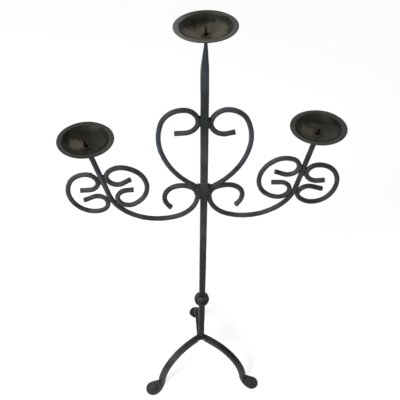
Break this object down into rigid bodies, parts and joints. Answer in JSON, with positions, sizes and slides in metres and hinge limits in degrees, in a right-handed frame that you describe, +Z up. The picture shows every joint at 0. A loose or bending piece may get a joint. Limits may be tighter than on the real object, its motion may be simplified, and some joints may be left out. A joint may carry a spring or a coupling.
{
  "type": "torchere candle stand",
  "caption": "Tall candle stand of black forged bar: a square post on arched legs with flattened feet, scrollwork shaped like a heart, curved arms, and spiked drip pans.",
  "frame": {"origin": "on the ground under the middle of the post", "axes": "+Z up along the post, the scrollwork stands in the XZ plane, the front faces -Y and two of the legs point to the front"},
  "size_m": [0.4747, 0.2405, 0.9022],
  "materials": {
    "black_iron": "satin black paint on forged bar, worn a little on the high spots",
    "weld_bead": "rough weld beads under the same black paint, brownish",
    "pan_black": "smooth glossy black-brown, dusty on the floor"
  },
  "bodies": {
    "root": {"post": "black_iron", "ball_collar": "black_iron", "leg_left": "black_iron", "leg_right": "black_iron", "leg_rear": "black_iron", "heart_scroll_left": "black_iron", "heart_scroll_right": "black_iron", "arm_left": "black_iron", "arm_right": "black_iron", "outer_scroll_left": "black_iron", "outer_scroll_right": "black_iron", "inner_scroll_left": "black_iron", "inner_scroll_right": "black_iron", "pan_top": "pan_black", "pan_left": "pan_black", "pan_right": "pan_black", "washer_top": "black_iron", "washer_left": "black_iron", "washer_right": "black_iron", "heart_top_welds": "weld_bead", "heart_foot_welds": "weld_bead", "leg_welds": "weld_bead", "upper_scroll_welds_left": "weld_bead", "upper_scroll_welds_right": "weld_bead", "lower_scroll_welds_left": "weld_bead", "lower_scroll_welds_right": "weld_bead", "pan_weld_top": "weld_bead", "pan_weld_left": "weld_bead", "pan_weld_right": "weld_bead"}
  },
  "joints": []
}
